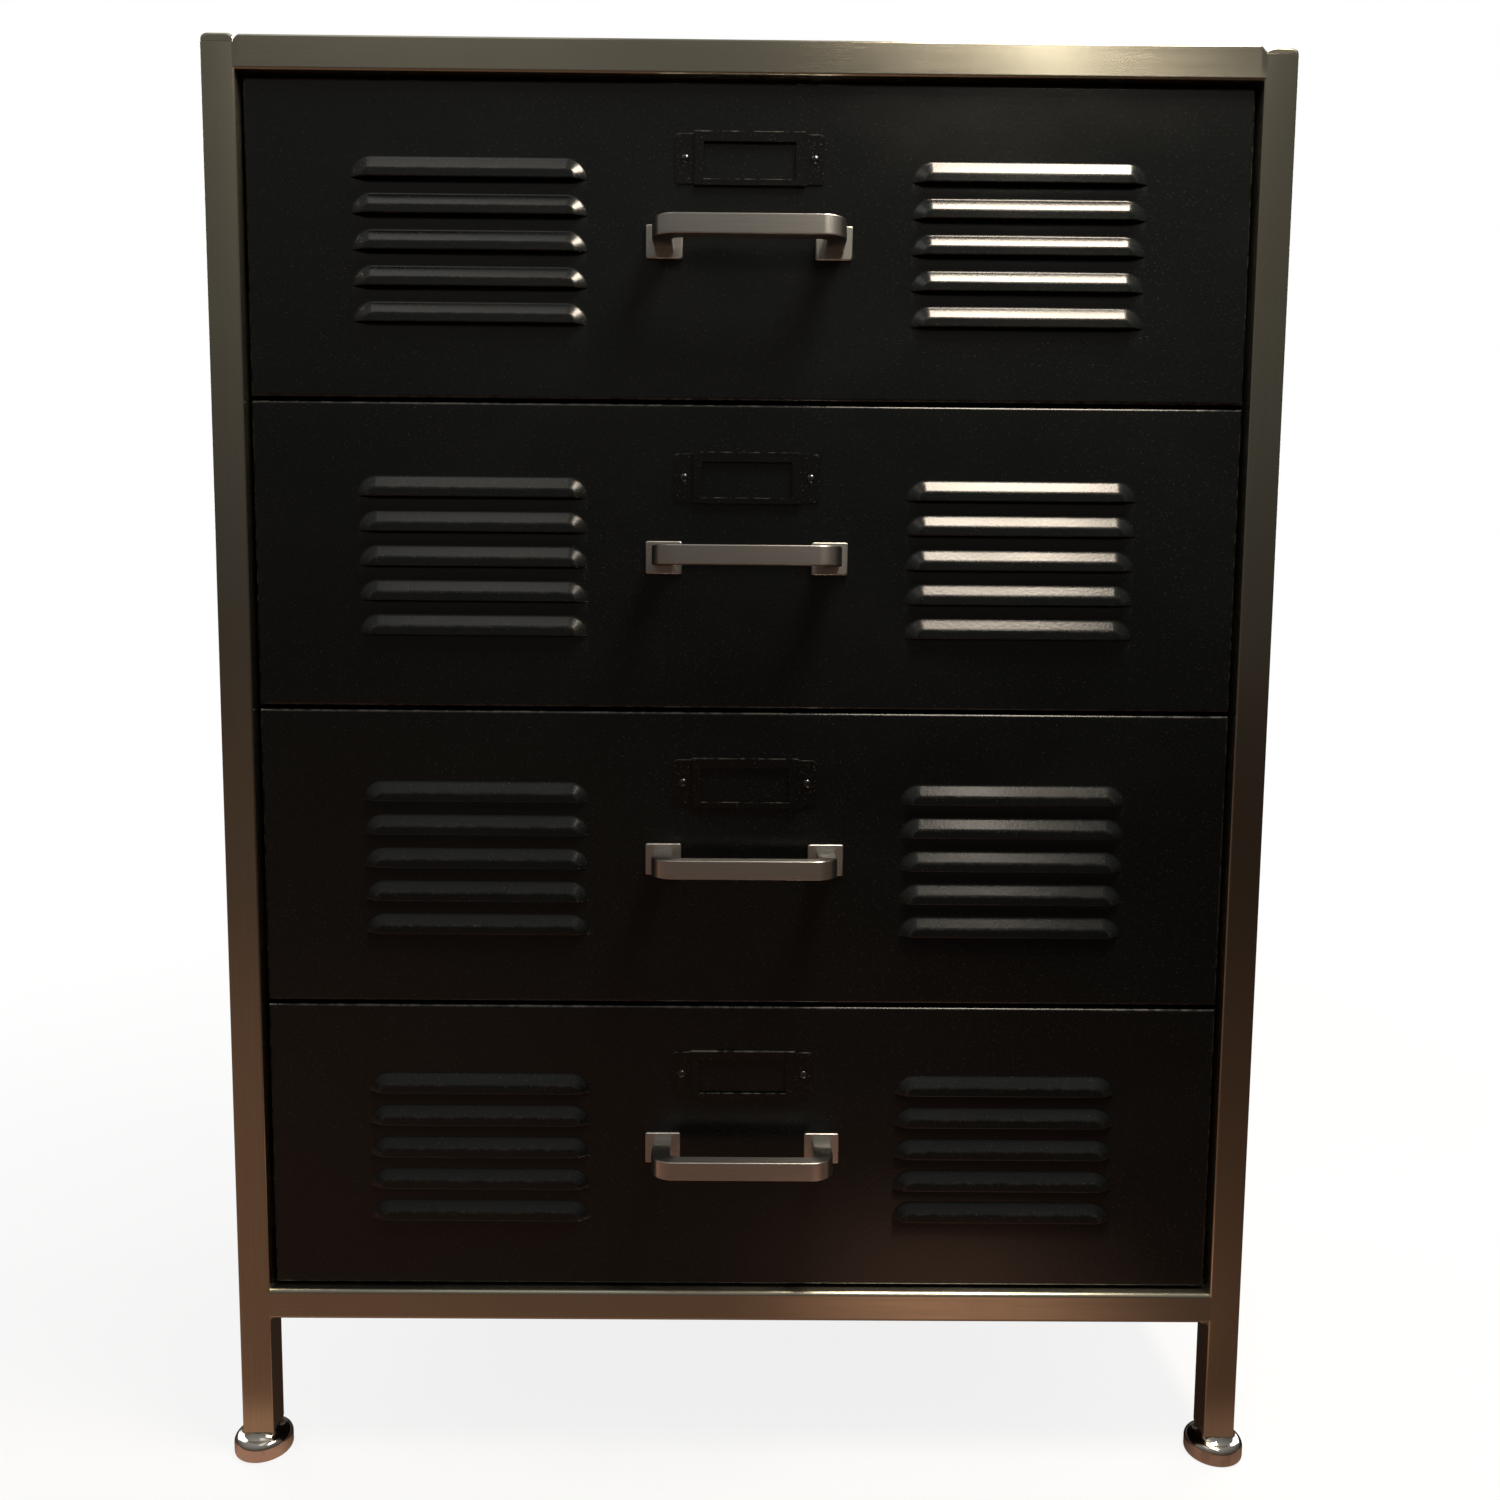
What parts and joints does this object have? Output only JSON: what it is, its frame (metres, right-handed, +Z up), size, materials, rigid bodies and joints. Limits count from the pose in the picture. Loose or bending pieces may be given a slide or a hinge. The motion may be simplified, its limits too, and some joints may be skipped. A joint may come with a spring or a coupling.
{
  "type": "tall chest of drawers",
  "caption": "Tall square-tube steel chest with inset louvred drawers on telescopic slides, bow handles and empty label holders.",
  "frame": {"origin": "on the floor, in the middle of the whole chest's box, handles and feet included", "axes": "+Z up, -Y is the front and the way the drawers open, +X is the right-hand side seen from the front"},
  "size_m": [0.834, 0.5074, 1.113],
  "materials": {
    "frame_steel": "brushed, warm nickel tone",
    "polished_feet": "polished nickel",
    "support_steel": "matt primer grey",
    "zinc_steel": "zinc plated",
    "panel_paint": "satin black",
    "black_paint": "satin black",
    "tray_paint": "satin black",
    "label_paint": "satin black",
    "handle_nickel": "brushed nickel"
  },
  "bodies": {
    "frame": {"post_front_left": "frame_steel", "post_front_right": "frame_steel", "post_back_left": "frame_steel", "post_back_right": "frame_steel", "top_rail_front": "frame_steel", "top_rail_back": "frame_steel", "top_rail_left": "frame_steel", "top_rail_right": "frame_steel", "bottom_rail_front": "frame_steel", "bottom_rail_back": "frame_steel", "bottom_rail_left": "frame_steel", "bottom_rail_right": "frame_steel", "post_caps": "frame_steel", "foot_glides": "polished_feet", "top_panel": "panel_paint", "bottom_panel": "panel_paint", "back_panel": "panel_paint", "side_panel_left": "panel_paint", "side_panel_right": "panel_paint", "panel_screws": "zinc_steel", "slide_supports_left": "support_steel", "slide_supports_right": "support_steel", "slide_screws": "zinc_steel", "slide_outer_1": "zinc_steel", "slide_outer_2": "zinc_steel", "slide_outer_3": "zinc_steel", "slide_outer_4": "zinc_steel"},
    "drawer_1": {"drawer_front_1": "black_paint", "drawer_tray_1": "tray_paint", "slide_inner_1": "zinc_steel", "handle_1": "handle_nickel", "handle_screws_1": "zinc_steel", "label_holder_1": "label_paint", "label_rivets_1": "label_paint"},
    "slide_middle_1": {"slide_middle_1": "zinc_steel"},
    "drawer_2": {"drawer_front_2": "black_paint", "drawer_tray_2": "tray_paint", "slide_inner_2": "zinc_steel", "handle_2": "handle_nickel", "handle_screws_2": "zinc_steel", "label_holder_2": "label_paint", "label_rivets_2": "label_paint"},
    "slide_middle_2": {"slide_middle_2": "zinc_steel"},
    "drawer_3": {"drawer_front_3": "black_paint", "drawer_tray_3": "tray_paint", "slide_inner_3": "zinc_steel", "handle_3": "handle_nickel", "handle_screws_3": "zinc_steel", "label_holder_3": "label_paint", "label_rivets_3": "label_paint"},
    "slide_middle_3": {"slide_middle_3": "zinc_steel"},
    "drawer_4": {"drawer_front_4": "black_paint", "drawer_tray_4": "tray_paint", "slide_inner_4": "zinc_steel", "handle_4": "handle_nickel", "handle_screws_4": "zinc_steel", "label_holder_4": "label_paint", "label_rivets_4": "label_paint"},
    "slide_middle_4": {"slide_middle_4": "zinc_steel"}
  },
  "joints": [
    {"name": "drawer_1_slide", "type": "slide", "parent": "frame", "child": "drawer_1", "axis": [0, -1, 0], "range_m": [0, 0.35]},
    {"name": "slide_middle_1_travel", "type": "slide", "parent": "frame", "child": "slide_middle_1", "axis": [0, -1, 0], "range_m": [0, 0.175]},
    {"name": "drawer_2_slide", "type": "slide", "parent": "frame", "child": "drawer_2", "axis": [0, -1, 0], "range_m": [0, 0.35]},
    {"name": "slide_middle_2_travel", "type": "slide", "parent": "frame", "child": "slide_middle_2", "axis": [0, -1, 0], "range_m": [0, 0.175]},
    {"name": "drawer_3_slide", "type": "slide", "parent": "frame", "child": "drawer_3", "axis": [0, -1, 0], "range_m": [0, 0.35]},
    {"name": "slide_middle_3_travel", "type": "slide", "parent": "frame", "child": "slide_middle_3", "axis": [0, -1, 0], "range_m": [0, 0.175]},
    {"name": "drawer_4_slide", "type": "slide", "parent": "frame", "child": "drawer_4", "axis": [0, -1, 0], "range_m": [0, 0.35]},
    {"name": "slide_middle_4_travel", "type": "slide", "parent": "frame", "child": "slide_middle_4", "axis": [0, -1, 0], "range_m": [0, 0.175]}
  ],
  "couplings": [
    {"joint": "slide_middle_1_travel", "follows": "drawer_1_slide", "ratio": 0.5},
    {"joint": "slide_middle_2_travel", "follows": "drawer_2_slide", "ratio": 0.5},
    {"joint": "slide_middle_3_travel", "follows": "drawer_3_slide", "ratio": 0.5},
    {"joint": "slide_middle_4_travel", "follows": "drawer_4_slide", "ratio": 0.5}
  ]
}
